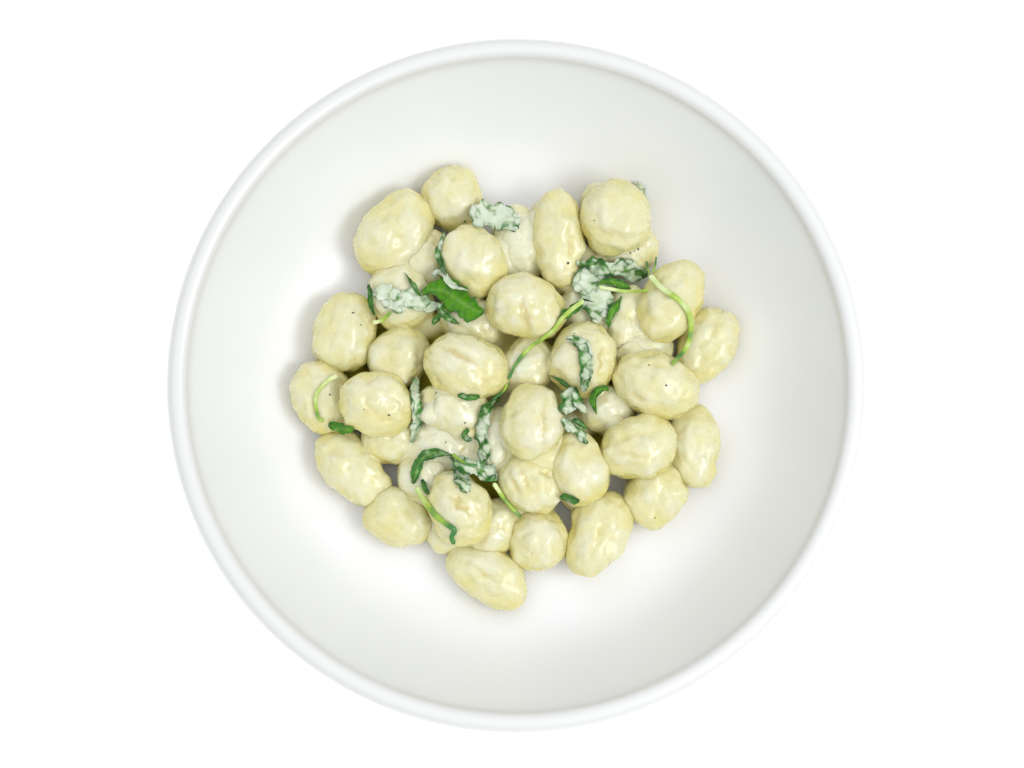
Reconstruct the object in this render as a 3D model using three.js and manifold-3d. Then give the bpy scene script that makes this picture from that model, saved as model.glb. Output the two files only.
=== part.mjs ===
// A shallow white porcelain bowl holding a heap of boiled potato gnocchi in cream,
// with torn rocket leaves and stems lying over and between them.
// Millimetres, +Z up. The origin is the middle of the foot, on the table.
// The heap is one solid: a low core with the gnocchi fused on. Every leaf and
// every stem is a piece of its own that lies on what is below it.

import * as THREE from 'three';
import { mergeVertices } from 'three/addons/utils/BufferGeometryUtils.js';
import Module from 'manifold-3d';

const wasm = await Module();
wasm.setup();

// ---------------------------------------------------------------- dimensions

const BOWL_RADIUS = 125;        // outside of the lip
const BOWL_HEIGHT = 54;         // top of the lip above the table
const FLOOR_RADIUS = 72;        // flat part of the inside
const FLOOR_HEIGHT = 8;         // inside floor above the table
const WALL = 4.2;               // thickness of the porcelain
const LIP_RADIUS = 3.7;         // the lip is a thick round roll
const FOOT_OUTER = 68;
const FOOT_INNER = 62;
const FOOT_BEVEL = 0.8;
const BOWL_SIDES = 44;

const GAP = 0.3;                // clearance between pieces that rest on each other

const ROUNDNESS = 2.35;         // 2 is an ellipsoid, more is a squarer pillow
const FLATNESS = 0.86;          // height of a gnocco over its width
const UNEVENNESS = 0.05;        // swing of the dough about the perfect form
const GNOCCO_RINGS = 6;
const GNOCCO_SIDES = 8;
const UNDER_RINGS = 5;          // the gnocchi that carry others are plainer
const UNDER_SIDES = 6;
const FACET_GROWTH = 1.06;      // makes up for the flats between the corners

const CORE_RADIUS = 57;         // the hidden middle of the heap, a low dome
const CORE_HEIGHT = 15;         // above the bowl's floor
const CORE_SIDES = 16;

const LEAF_THICKNESS = 0.7;
const LEAF_STEP = 2.8;          // length of one facet along a leaf
const WIDE_LEAF = 5.5;          // a leaf wider than this has more facets across
const LEAF_SAG = 0.12;          // how far a leaf dips within one facet
const LEAF_RIPPLE = 0.7;        // height of the waves in a leaf
const STEM_STEP = 3.2;
const STEM_SIDES = 5;
const STEM_SAG = 0.04;
const DROOP = 0.3;              // slope of a free end
const STEEPEST = 0.6;           // slope of a leaf across its midrib

// Each gnocco: x, y, length, width, heading in degrees from +X, and how far its
// underside is lifted from the bowl by the gnocchi below it. The second list is
// hidden from above and carries the outer gnocchi of the top layer.
const BOTTOM_LAYER = [
  [-34.1, 48.8, 22.3, 18.6, 70, 2],
  [-17.3, 26.1, 24.4, 18.5, -20, 4],
  [1.2, 55.5, 28.2, 19.3, -75, 2],
  [20.6, 45.1, 20.8, 17.1, 60, 3],
  [41.4, 54.0, 22.3, 18.6, 0, 2],
  [25.7, 29.8, 20.8, 18.5, 20, 4],
  [41.1, 24.6, 28.1, 17.0, 85, 5],
  [45.6, 14.8, 22.2, 17.0, 0, 5],
  [4.2, 9.0, 22.9, 19.2, 60, 7],
  [-46.0, -17.7, 22.1, 18.4, 0, 2],
  [-28.3, -19.7, 24.3, 18.4, -10, 3],
  [-7.3, -18.0, 25.8, 16.9, 80, 6],
  [-33.8, -31.9, 22.1, 18.4, 90, 3],
  [-8.7, -50.2, 22.0, 18.4, 60, 1],
  [33.7, -6.8, 20.7, 17.7, 0, 5],
  [-72.4, -2.4, 27.0, 20.6, -80, 0],
  [-63.4, 22.0, 30.0, 22.2, 80, 0],
  [-60.3, -28.5, 32.4, 19.2, -45, 0],
  [-43.3, -47.0, 26.1, 19.8, -20, 0],
  [-10.9, -68.2, 31.5, 19.1, -30, 0],
  [8.1, -54.8, 23.5, 21.3, 90, 1],
  [29.8, -53.0, 32.3, 21.3, 65, 1],
  [50.8, -38.8, 24.0, 21.6, 50, 0],
  [64.4, -19.8, 29.5, 19.9, -80, 0],
  [70.0, 17.1, 29.6, 20.7, 65, 0],
  [-43.1, 12.2, 23.6, 20.7, 60, 3],
  [-43.2, 35.4, 25.2, 22.2, -60, 2],
  [-23.4, 72.4, 22.7, 21.6, -60, 0],
  [-45.3, 59.1, 33.0, 24.5, 48, 1],
];
const UNDER_TOP_LAYER = [
  [54.5, 31.0, 24.0, 17.0, 60, 0],
  [32.0, 66.5, 24.0, 18.0, 100, 0],
  [13.5, 63.5, 22.0, 16.0, 80, 0],
  [-57.5, -6.0, 22.0, 17.0, 20, 0],
  [46.5, -23.5, 24.0, 18.0, 0, 0],
  [23.0, -34.0, 24.0, 17.0, -60, 0],
  [56.5, 3.0, 22.0, 17.0, -20, 0],
  [-23.5, -50.0, 22.0, 17.0, 20, 0],
  [4.5, -40.0, 20.0, 17.0, 0, 0],
];
const TOP_LAYER = [
  [-22.6, -7.6, 26.4, 20.5, -20, 8],
  [5.6, -34.4, 24.1, 21.2, -30, 7],
  [23.0, -28.8, 27.0, 19.7, -80, 11],
  [-20.7, -43.8, 26.9, 21.8, -65, 10],
  [44.2, -22.2, 27.7, 22.6, 10, 10],
  [57.0, 32.2, 31.6, 21.3, 60, 9],
  [15.2, 56.2, 34.7, 18.4, 95, 9],
  [36.2, 63.6, 27.3, 25.0, 90, 8],
  [-51.1, -6.1, 27.0, 22.6, -10, 10],
  [3.0, 29.5, 28.6, 23.4, -15, 11],
  [-15.4, 47.3, 27.2, 22.8, -65, 9],
  [24.9, 10.3, 26.3, 23.4, 80, 11],
  [-18.5, 7.5, 30.6, 22.6, -15, 13],
  [5.5, -13.0, 27.7, 21.8, 85, 13],
  [50.5, 0.8, 30.7, 22.6, -15, 11],
];

// Each leaf: name, widest width, how far along that is, number of lobes, and its
// midrib in plan.
const LEAVES = [
  ['leaf_upper_left', 8, 0.35, 2,
    [[-52.5, 35.5], [-48.5, 34], [-44, 32.5], [-40, 32.5], [-35.5, 31.5], [-30.5, 31], [-27.5, 31]]],
  ['leaf_bright', 9.5, 0.62, 1,
    [[-34.5, 34.5], [-30.5, 36], [-26.5, 35.5], [-22.5, 33], [-18.5, 30.3], [-15, 28.5], [-12, 27.7]]],
  ['leaf_edge_left', 1.6, 0.5, 1, [[-54.5, 38.5], [-54, 34.5], [-53.5, 30.5], [-52.5, 27.5]]],
  ['leaf_thread', 1.6, 0.6, 1, [[-40.5, 41.5], [-38.5, 38.5], [-36.5, 35.5], [-34.5, 33.5]]],
  ['leaf_tucked', 2.2, 0.4, 1,
    [[-31, 40.5], [-29, 42.5], [-26.5, 41], [-24.5, 38], [-21, 36], [-18, 35]]],
  ['leaf_left_scrap', 2.4, 0.4, 1, [[-28.5, 31.5], [-27.5, 28], [-25, 26], [-21, 23.5]]],
  ['leaf_left_fork', 2, 0.5, 1, [[-28.5, 27.5], [-29, 26], [-30.5, 23.5]]],
  ['leaf_strip_upper', 2, 0.5, 1, [[-26.5, 58], [-28, 53.5], [-29, 49.5], [-27.5, 45], [-26, 41]]],
  ['leaf_top', 10.5, 0.5, 1, [[-15.5, 59.5], [-12.5, 63], [-9, 64.5], [-5, 64.2], [-2, 62], [0, 58.5]]],
  ['leaf_right', 13, 0.4, 1, [[20.5, 39.5], [25, 38.5], [28.5, 35], [30, 29.7], [28.5, 23.5]]],
  ['leaf_right_upper', 6.5, 0.6, 2, [[22, 46], [28.5, 45.5], [35, 44.5], [42, 44], [48.5, 43]]],
  ['leaf_right_band', 3.2, 0.65, 1, [[29, 38.5], [33.5, 39.5], [38, 39], [42, 37]]],
  ['leaf_strip_right', 2.6, 0.6, 1, [[38.5, 34], [37, 31.5], [35.5, 28.5], [34, 25.5], [33.5, 22.5]]],
  ['leaf_stem_base', 3.4, 0.45, 1, [[24.5, 32], [21.5, 29.5], [18.5, 26.5], [15.5, 24]]],
  ['leaf_centre', 4.8, 0.5, 1,
    [[18, 17], [21.5, 16], [24, 13], [25, 9.5], [25.5, 5], [25, 1], [24.5, -2.5]]],
  ['leaf_centre_left', 1.6, 0.6, 1, [[12.5, 4], [15.5, 2], [18.5, 0], [21, -2.5]]],
  ['leaf_lobed', 6.2, 0.5, 2, [[20.5, -0.5], [19.5, -3.5], [18.5, -7], [18, -10.5]]],
  ['leaf_lobed_limb', 3, 0.5, 1, [[20, -2.5], [22, -5.5], [24, -8], [25.5, -9.5]]],
  ['leaf_strip_lobed', 3.2, 0.4, 2, [[16.5, -12.5], [19, -14.5], [22, -16.5], [24, -19], [25.5, -21]]],
  ['leaf_strip_fork', 2.2, 0.5, 1, [[19.5, -13], [22.5, -13.5], [25.5, -15.5]]],
  ['leaf_scrap_right', 2.5, 0.4, 1, [[33.5, -1], [31.5, -0.5], [29, -2], [28, -5], [29, -9.5]]],
  ['leaf_left_tip', 3.4, 0.5, 1, [[-69, -13], [-66, -14], [-63, -15], [-59.5, -15.5]]],
  ['leaf_strip_left', 3.6, 0.4, 1,
    [[-36, 4], [-37.5, -0.5], [-36.5, -6], [-36, -10.5], [-37, -15], [-38.5, -19.5]]],
  ['leaf_strip_middle', 1.8, 0.5, 1, [[-21.5, -4], [-17.5, -4.5], [-13.5, -4]]],
  ['leaf_curl', 1.8, 0.5, 1, [[-17.5, -15.5], [-19, -17], [-18.5, -18.5], [-16.5, -19]]],
  ['leaf_middle', 4.6, 0.6, 3,
    [[-6.5, -3], [-9, -5.5], [-11, -9], [-12.5, -12.5], [-12.5, -16.5], [-12, -21], [-12, -25.5],
      [-10.5, -29]]],
  ['leaf_lower', 3.6, 0.4, 1,
    [[-38, -35], [-36.5, -31.5], [-35.5, -27.5], [-33, -24.5], [-28.5, -23.5], [-23.5, -24.5]]],
  ['leaf_lower_branch', 1.6, 0.6, 1, [[-34.5, -33.5], [-33.5, -36.5], [-32, -39]]],
  ['leaf_lobe_lower', 5.2, 0.6, 1, [[-23.5, -28], [-20.5, -32], [-18.5, -36], [-17.5, -39]]],
  ['leaf_lobe_middle', 7.2, 0.6, 2, [[-24, -25.5], [-20, -28], [-15.5, -30], [-11.5, -31], [-8, -28.5]]],
  ['leaf_scrap_front', 2.4, 0.5, 1, [[15.5, -40.5], [19, -41], [22.5, -42]]],
  ['leaf_tip_top', 3, 0.5, 1, [[43.5, 79], [46.5, 76], [49, 71.5]]],
];

// Each stem: name, thickness, and its middle line in plan.
const STEMS = [
  ['stem_right', 2.1,
    [[48.5, 41], [52, 36.5], [55.5, 33.5], [59.5, 30.5], [62, 28], [63.5, 24.5], [63.5, 20.5],
      [62.5, 16], [60, 12], [56, 7.5]]],
  ['stem_centre', 1.6,
    [[24.5, 31.5], [20, 28], [16, 24], [13.5, 20.5], [9.5, 17.5], [5.5, 15], [2, 11.5], [-1, 7], [-3, 2.5]]],
  ['stem_right_short', 1.4, [[30, 37.5], [35, 36.5], [41, 35.5], [48, 35.5]]],
  ['stem_upper_left', 1.6, [[-53, 24.5], [-50, 25], [-47.5, 26.5], [-46, 28]]],
  ['stem_left', 1.5,
    [[-65.5, 5], [-69, 3], [-72, 0], [-73.5, -3], [-73.5, -6.5], [-72.5, -10.5], [-70.5, -12]]],
  ['stem_middle', 1, [[-3.5, 1], [-4.5, -1], [-6, -2.5], [-9, -4.5]]],
  ['stem_lower', 1.2, [[-23.5, -24.5], [-21, -26.5], [-18, -28.5], [-14, -29]]],
  ['stem_lower_left', 2.3,
    [[-36.5, -36], [-34.5, -40], [-31.5, -44.5], [-29, -47.5], [-26, -50], [-22.5, -52.5],
      [-23.5, -55], [-22.5, -57.5]]],
  ['stem_lower_right', 1.6, [[-8.5, -35], [-6, -38.5], [-3.5, -42], [-1, -44.5], [1.5, -47]]],
  ['stem_tuft_left', 0.8, [[49, 42.5], [48.5, 45], [48, 48]]],
  ['stem_tuft_right', 0.8, [[50, 42.5], [51, 46], [51.5, 49.5]]],
];

// ------------------------------------------------------------------- finishes

const porcelain = new THREE.MeshStandardMaterial({ color: 0xf4f3ee, roughness: 0.18, metalness: 0 });
const dough = new THREE.MeshStandardMaterial({ color: 0xeee4b8, roughness: 0.4, metalness: 0 });
const leafGreen = new THREE.MeshStandardMaterial({ color: 0x3f8a34, roughness: 0.45, metalness: 0 });
const stemGreen = new THREE.MeshStandardMaterial({ color: 0x9dbb58, roughness: 0.4, metalness: 0 });

// -------------------------------------------------------------------- helpers

// A geometry as a boolean solid, and back.
function toSolid(geometry) {
  const bare = geometry.clone();
  for (const name of Object.keys(bare.attributes)) {
    if (name !== 'position') bare.deleteAttribute(name);
  }
  const merged = mergeVertices(bare, 1e-4);
  return new wasm.Manifold(new wasm.Mesh({
    numProp: 3,
    vertProperties: new Float32Array(merged.attributes.position.array),
    triVerts: new Uint32Array(merged.index.array),
  }));
}

function toGeometry(solid) {
  const mesh = solid.getMesh();
  const geometry = new THREE.BufferGeometry();
  geometry.setAttribute('position', new THREE.BufferAttribute(mesh.vertProperties, 3));
  geometry.setIndex(new THREE.BufferAttribute(mesh.triVerts, 1));
  geometry.computeVertexNormals();
  return geometry;
}

// A closed profile of [radius, height] turned round the Z axis.
function turned(profile, sides) {
  const points = profile.map(([r, z]) => new THREE.Vector2(r, z));
  return new THREE.LatheGeometry(points, sides).rotateX(Math.PI / 2);
}

// ----------------------------------------------------------------------- bowl

// Height of the inside: a flat floor that curves up into the wall.
const LIP_MIDDLE = BOWL_RADIUS - LIP_RADIUS;
const LIP_HEIGHT = BOWL_HEIGHT - LIP_RADIUS;
const WALL_TOP = LIP_MIDDLE - LIP_RADIUS;
const WALL_RISE = (LIP_HEIGHT - FLOOR_HEIGHT) / (WALL_TOP - FLOOR_RADIUS) ** 2;

function insideHeight(radius) {
  return FLOOR_HEIGHT + WALL_RISE * Math.max(0, radius - FLOOR_RADIUS) ** 2;
}

// The inside curve moved along its normal: outwards through the wall for a
// positive distance, into the bowl for a negative one.
function insideOffset(radius, distance) {
  const slope = 2 * WALL_RISE * Math.max(0, radius - FLOOR_RADIUS);
  const length = Math.hypot(1, slope);
  return [radius + distance * slope / length, insideHeight(radius) - distance / length];
}

function bowlGeometry() {
  const wallSteps = 7;
  const lipSteps = 7;
  const underside = FLOOR_HEIGHT - WALL;
  const profile = [
    [0, underside],
    [FOOT_INNER, underside],
    [FOOT_INNER, FOOT_BEVEL],
    [FOOT_INNER + FOOT_BEVEL, 0],
    [FOOT_OUTER - FOOT_BEVEL, 0],
    [FOOT_OUTER, FOOT_BEVEL],
    [FOOT_OUTER + FOOT_BEVEL, underside],
  ];
  for (let i = 1; i <= wallSteps; i++) {
    const radius = FLOOR_RADIUS + (WALL_TOP - LIP_RADIUS / 2 - FLOOR_RADIUS) * i / wallSteps;
    profile.push(insideOffset(radius, WALL));
  }
  for (let i = 0; i <= lipSteps; i++) {
    const angle = THREE.MathUtils.degToRad(-80 + 260 * i / lipSteps);
    profile.push([LIP_MIDDLE + LIP_RADIUS * Math.cos(angle), LIP_HEIGHT + LIP_RADIUS * Math.sin(angle)]);
  }
  for (let i = wallSteps - 1; i >= 0; i--) {
    const radius = FLOOR_RADIUS + (WALL_TOP - FLOOR_RADIUS) * i / wallSteps;
    profile.push([radius, insideHeight(radius)]);
  }
  profile.push([0, FLOOR_HEIGHT]);
  return turned(profile, BOWL_SIDES);
}

// ----------------------------------------------------------------------- heap

// The space inside the bowl, a gap clear of its surface.
function roomInBowl() {
  const steps = 5;
  const profile = [[0, FLOOR_HEIGHT + GAP]];
  for (let i = 0; i <= steps; i++) {
    const radius = FLOOR_RADIUS + (WALL_TOP - FLOOR_RADIUS) * i / steps;
    profile.push(insideOffset(radius, -GAP));
  }
  profile.push([profile[steps + 1][0], BOWL_HEIGHT], [0, BOWL_HEIGHT]);
  return toSolid(turned(profile, BOWL_SIDES));
}

// A small pillow of dough, shaped from a sphere, a little uneven.
function gnocco([x, y, length, width, heading, lift], order, sides, rings) {
  const height = FLATNESS * width;
  const geometry = new THREE.SphereGeometry(1, sides, rings).rotateZ(Math.PI / 2);
  const position = geometry.attributes.position;
  const point = new THREE.Vector3();
  for (let i = 0; i < position.count; i++) {
    point.fromBufferAttribute(position, i);
    const power = Math.abs(point.x) ** ROUNDNESS + Math.abs(point.y) ** ROUNDNESS
      + Math.abs(point.z) ** ROUNDNESS;
    const wave = Math.sin(3 * point.x + order) * Math.cos(2 * point.y - 2 * order);
    const size = FACET_GROWTH * (1 + UNEVENNESS * wave / 2) / power ** (1 / ROUNDNESS);
    point.multiplyScalar(size);
    position.setXYZ(i, point.x * length / 2, point.y * width / 2, point.z * height / 2);
  }
  const reach = Math.hypot(x, y) - 0.15 * width;
  geometry.rotateZ(THREE.MathUtils.degToRad(heading));
  geometry.translate(x, y, insideHeight(reach) + lift + height / 2);
  return toSolid(geometry);
}

function coreOfHeap() {
  const steps = 5;
  const profile = [[0, FLOOR_HEIGHT - 1], [CORE_RADIUS, FLOOR_HEIGHT - 1]];
  for (let i = 0; i <= steps; i++) {
    const angle = Math.PI / 2 * i / steps;
    const radius = i < steps ? CORE_RADIUS * Math.cos(angle) : 0;
    profile.push([radius, FLOOR_HEIGHT + CORE_HEIGHT * Math.sin(angle)]);
  }
  return toSolid(turned(profile, CORE_SIDES));
}

// The fused heap. The largest shell is kept, so that hollows which the fusing
// seals are filled and loose scraps are dropped.
function heapGeometry() {
  let heap = coreOfHeap();
  UNDER_TOP_LAYER.forEach((row, order) => {
    heap = heap.add(gnocco(row, order, UNDER_SIDES, UNDER_RINGS));
  });
  [...BOTTOM_LAYER, ...TOP_LAYER].forEach((row, order) => {
    heap = heap.add(gnocco(row, order, GNOCCO_SIDES, GNOCCO_RINGS));
  });
  const shells = heap.intersect(roomInBowl()).decompose();
  shells.sort((a, b) => b.volume() - a.volume());
  return toGeometry(shells[0]);
}

// -------------------------------------------------------------------- rocket

// Lowest height at which a ball can rest at x, y on the pieces below it.
const down = new THREE.Vector3(0, 0, -1);
const raycaster = new THREE.Raycaster();

function heightOf(below, x, y) {
  raycaster.set(new THREE.Vector3(x, y, 2 * BOWL_HEIGHT), down);
  const hits = raycaster.intersectObjects(below, false);
  return hits.length ? hits[0].point.z : FLOOR_HEIGHT;
}

function restingHeight(below, x, y, ball) {
  const reach = 0.85 * ball;
  const rise = Math.sqrt(ball ** 2 - reach ** 2);
  let height = heightOf(below, x, y) + ball;
  for (let i = 0; i < 8; i++) {
    const angle = Math.PI * i / 4;
    const under = heightOf(below, x + reach * Math.cos(angle), y + reach * Math.sin(angle));
    height = Math.max(height, under + rise);
  }
  return height;
}

// A grid of heights drawn taut, column by column: it lies on what is under it,
// bridges dips, never hangs steeply sideways, and its free ends droop a little.
function drawnTaut(resting, sag, alongStep, acrossStep) {
  const heights = resting.map((column) => [...column]);
  const last = resting[0].length - 1;
  for (let round = 0; round < 80; round++) {
    heights.forEach((column, j) => {
      for (let i = 0; i <= last; i++) {
        const taut = i > 0 && i < last
          ? (column[i - 1] + column[i + 1]) / 2 - sag
          : column[i === 0 ? 1 : last - 1] - DROOP * alongStep;
        const left = j > 0 ? heights[j - 1][i] - STEEPEST * acrossStep : 0;
        const right = j < heights.length - 1 ? heights[j + 1][i] - STEEPEST * acrossStep : 0;
        column[i] = Math.max(resting[j][i], taut, left, right);
      }
    });
  }
  return heights;
}

function planCurve(route) {
  return new THREE.CatmullRomCurve3(route.map(([x, y]) => new THREE.Vector3(x, y, 0)));
}

// A thin wavy leaf: a grid draped over the pieces below, given a thickness.
function leafGeometry([, width, widest, lobes, route], below) {
  const curve = planCurve(route);
  const steps = Math.ceil(curve.getLength() / LEAF_STEP);
  const ball = LEAF_THICKNESS / 2 + GAP + 0.1;
  const cells = width > WIDE_LEAF ? 4 : 2;
  const shift = Math.log(0.5) / Math.log(widest);
  const plan = [];
  for (let j = 0; j <= cells; j++) {
    const across = 2 * j / cells - 1;
    const column = [];
    for (let i = 0; i <= steps; i++) {
      const t = i / steps;
      const middle = curve.getPointAt(t);
      const along = curve.getTangentAt(t);
      const outline = Math.sin(Math.PI * (0.1 + 0.8 * t ** shift)) ** 0.7;
      const lobe = 1 - 0.22 * (1 + Math.cos(2 * Math.PI * lobes * t)) / 2;
      const half = across * outline * lobe * width / 2;
      column.push([middle.x - along.y * half, middle.y + along.x * half]);
    }
    plan.push(column);
  }
  const resting = plan.map((column) => column.map(([x, y]) => restingHeight(below, x, y, ball)));
  const heights = drawnTaut(resting, LEAF_SAG, LEAF_STEP, width / cells);
  const columns = plan.map((column, j) => column.map(([x, y], i) => {
    const across = 2 * j / cells - 1;
    const ripple = LEAF_RIPPLE * (1 + Math.sin(1.7 * i + 2 * across)) / 2 * Math.abs(across);
    return new THREE.Vector3(x, y, heights[j][i] + ripple);
  }));
  const rows = steps + 1;
  const total = columns.length * rows;
  const vertices = [];
  for (const side of [1, -1]) {
    for (const column of columns) {
      for (const p of column) vertices.push(p.x, p.y, p.z + side * LEAF_THICKNESS / 2);
    }
  }
  const faces = [];
  for (let j = 0; j < cells; j++) {
    for (let i = 0; i < steps; i++) {
      const a = j * rows + i;
      const b = a + 1;
      const c = a + rows;
      const d = c + 1;
      faces.push(a, c, b, b, c, d);
      faces.push(total + a, total + b, total + c, total + b, total + d, total + c);
    }
  }
  const rim = [];
  for (let i = 0; i < steps; i++) rim.push(i);
  for (let j = 0; j < cells; j++) rim.push(j * rows + steps);
  for (let i = steps; i > 0; i--) rim.push(cells * rows + i);
  for (let j = cells; j > 0; j--) rim.push(j * rows);
  rim.forEach((a, k) => {
    const b = rim[(k + 1) % rim.length];
    faces.push(a, b, total + a, b, total + b, total + a);
  });
  return outwards(vertices, faces);
}

// An indexed geometry whose faces point out.
function outwards(vertices, faces) {
  const geometry = new THREE.BufferGeometry();
  geometry.setAttribute('position', new THREE.Float32BufferAttribute(vertices, 3));
  const corner = (k) => new THREE.Vector3().fromArray(vertices, 3 * faces[k]);
  let volume = 0;
  for (let k = 0; k < faces.length; k += 3) {
    volume += corner(k).dot(corner(k + 1).cross(corner(k + 2)));
  }
  geometry.setIndex(volume > 0 ? faces : faces.reverse());
  geometry.computeVertexNormals();
  return geometry;
}

// A thin stem: a round section swept along a line that lies on the pieces below.
function stemGeometry([, thickness, route], below) {
  const curve = planCurve(route);
  const steps = Math.ceil(curve.getLength() / STEM_STEP);
  const ball = thickness / 2 + GAP + 0.1;
  const plan = curve.getSpacedPoints(steps);
  const resting = plan.map((p) => restingHeight(below, p.x, p.y, ball));
  const [heights] = drawnTaut([resting], STEM_SAG, STEM_STEP, 0);
  const path = new THREE.CatmullRomCurve3(plan.map((p, i) => new THREE.Vector3(p.x, p.y, heights[i])));
  const section = new THREE.Shape();
  for (let i = 0; i < STEM_SIDES; i++) {
    const angle = 2 * Math.PI * i / STEM_SIDES;
    const x = thickness / 2 * Math.cos(angle);
    const y = thickness / 2 * Math.sin(angle);
    if (i === 0) section.moveTo(x, y);
    else section.lineTo(x, y);
  }
  section.closePath();
  return new THREE.ExtrudeGeometry(section, { steps, extrudePath: path, bevelEnabled: false });
}

// ------------------------------------------------------------------- assembly

const dish = new THREE.Group();

function addPiece(name, geometry, material) {
  const mesh = new THREE.Mesh(geometry, material);
  mesh.name = name;
  mesh.updateMatrixWorld();
  dish.add(mesh);
  return mesh;
}

// A piece of rocket is raised until it is clear of all that was laid before it.
function layPiece(name, geometry, material) {
  const laid = dish.children.map((mesh) => toSolid(mesh.geometry));
  const touches = () => laid.some((solid) => toSolid(geometry).intersect(solid).volume() > 0);
  while (touches()) geometry.translate(0, 0, GAP / 2);
  addPiece(name, geometry, material);
}

addPiece('bowl', bowlGeometry(), porcelain);
addPiece('gnocchi_heap', heapGeometry(), dough);
for (const row of LEAVES) layPiece(row[0], leafGeometry(row, dish.children), leafGreen);
for (const row of STEMS) layPiece(row[0], stemGeometry(row, dish.children), stemGreen);

export default dish;
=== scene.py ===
import math
import random

import bmesh
import bpy
from mathutils import Matrix, Vector, noise
from mathutils.bvhtree import BVHTree
from mathutils.kdtree import KDTree


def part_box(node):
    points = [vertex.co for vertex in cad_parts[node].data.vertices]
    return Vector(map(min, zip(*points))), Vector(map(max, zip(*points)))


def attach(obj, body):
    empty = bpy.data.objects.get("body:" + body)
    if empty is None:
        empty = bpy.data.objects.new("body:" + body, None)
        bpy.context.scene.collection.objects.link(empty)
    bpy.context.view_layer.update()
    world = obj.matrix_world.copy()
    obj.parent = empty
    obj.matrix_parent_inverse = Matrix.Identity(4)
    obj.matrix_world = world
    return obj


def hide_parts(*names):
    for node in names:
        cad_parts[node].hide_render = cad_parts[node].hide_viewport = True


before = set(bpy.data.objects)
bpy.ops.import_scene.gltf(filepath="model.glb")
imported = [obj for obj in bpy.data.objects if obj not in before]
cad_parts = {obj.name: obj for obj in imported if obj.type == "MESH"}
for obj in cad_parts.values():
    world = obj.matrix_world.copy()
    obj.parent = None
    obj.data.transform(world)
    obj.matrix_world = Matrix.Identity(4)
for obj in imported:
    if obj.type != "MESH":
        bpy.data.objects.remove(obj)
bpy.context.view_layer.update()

# ------------------------------------------------------------------ the view
# The dish is seen from above, leaning seven degrees towards the diner's side,
# from a metre over the rim.
MM = 0.001
RIM_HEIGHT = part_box("bowl")[1].z
VIEW_LEAN = math.radians(7)
VIEW_DISTANCE = 1.0
VIEW_CENTRE = Vector((-1.75, -1.6, 0)) * MM
FOCAL_LENGTH = 98.7

camera = bpy.data.objects.new("camera", bpy.data.cameras.new("camera"))
camera.data.lens = FOCAL_LENGTH
camera.location = VIEW_CENTRE + Vector((0, 0, RIM_HEIGHT)) \
    + VIEW_DISTANCE * Vector((0, -math.sin(VIEW_LEAN), math.cos(VIEW_LEAN)))
camera.rotation_euler = (VIEW_LEAN, 0, 0)
bpy.context.collection.objects.link(camera)
bpy.context.scene.camera = camera

# ------------------------------------------------------- the table and light
# A plain white table top in a bright studio. One broad soft light stands to the
# right of the dish, and the white room fills the shadows.
TABLE_SIZE = 3.0
TABLE_BLOTCH = 0.4
TABLE_PALE = (0.76, 0.76, 0.76, 1)
TABLE_WHITE = (0.80, 0.80, 0.80, 1)
TABLE_LIGHT = (1, 1, 1, 1)
TABLE_GLOW = 0.34
ROOM_WHITE = (0.97, 0.98, 1, 1)
ROOM_OVERHEAD = 1.225
ROOM_LOW = 0.46
OVERHEAD = 0.9
LAMP_WHITE = (1.0, 1.0, 0.99)
LAMP_PLACE = Vector((0.72, -0.3, 1.1))
LAMP_LENGTH = 0.7
LAMP_WIDTH = 0.45
LAMP_WATTS = 6.3


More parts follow.
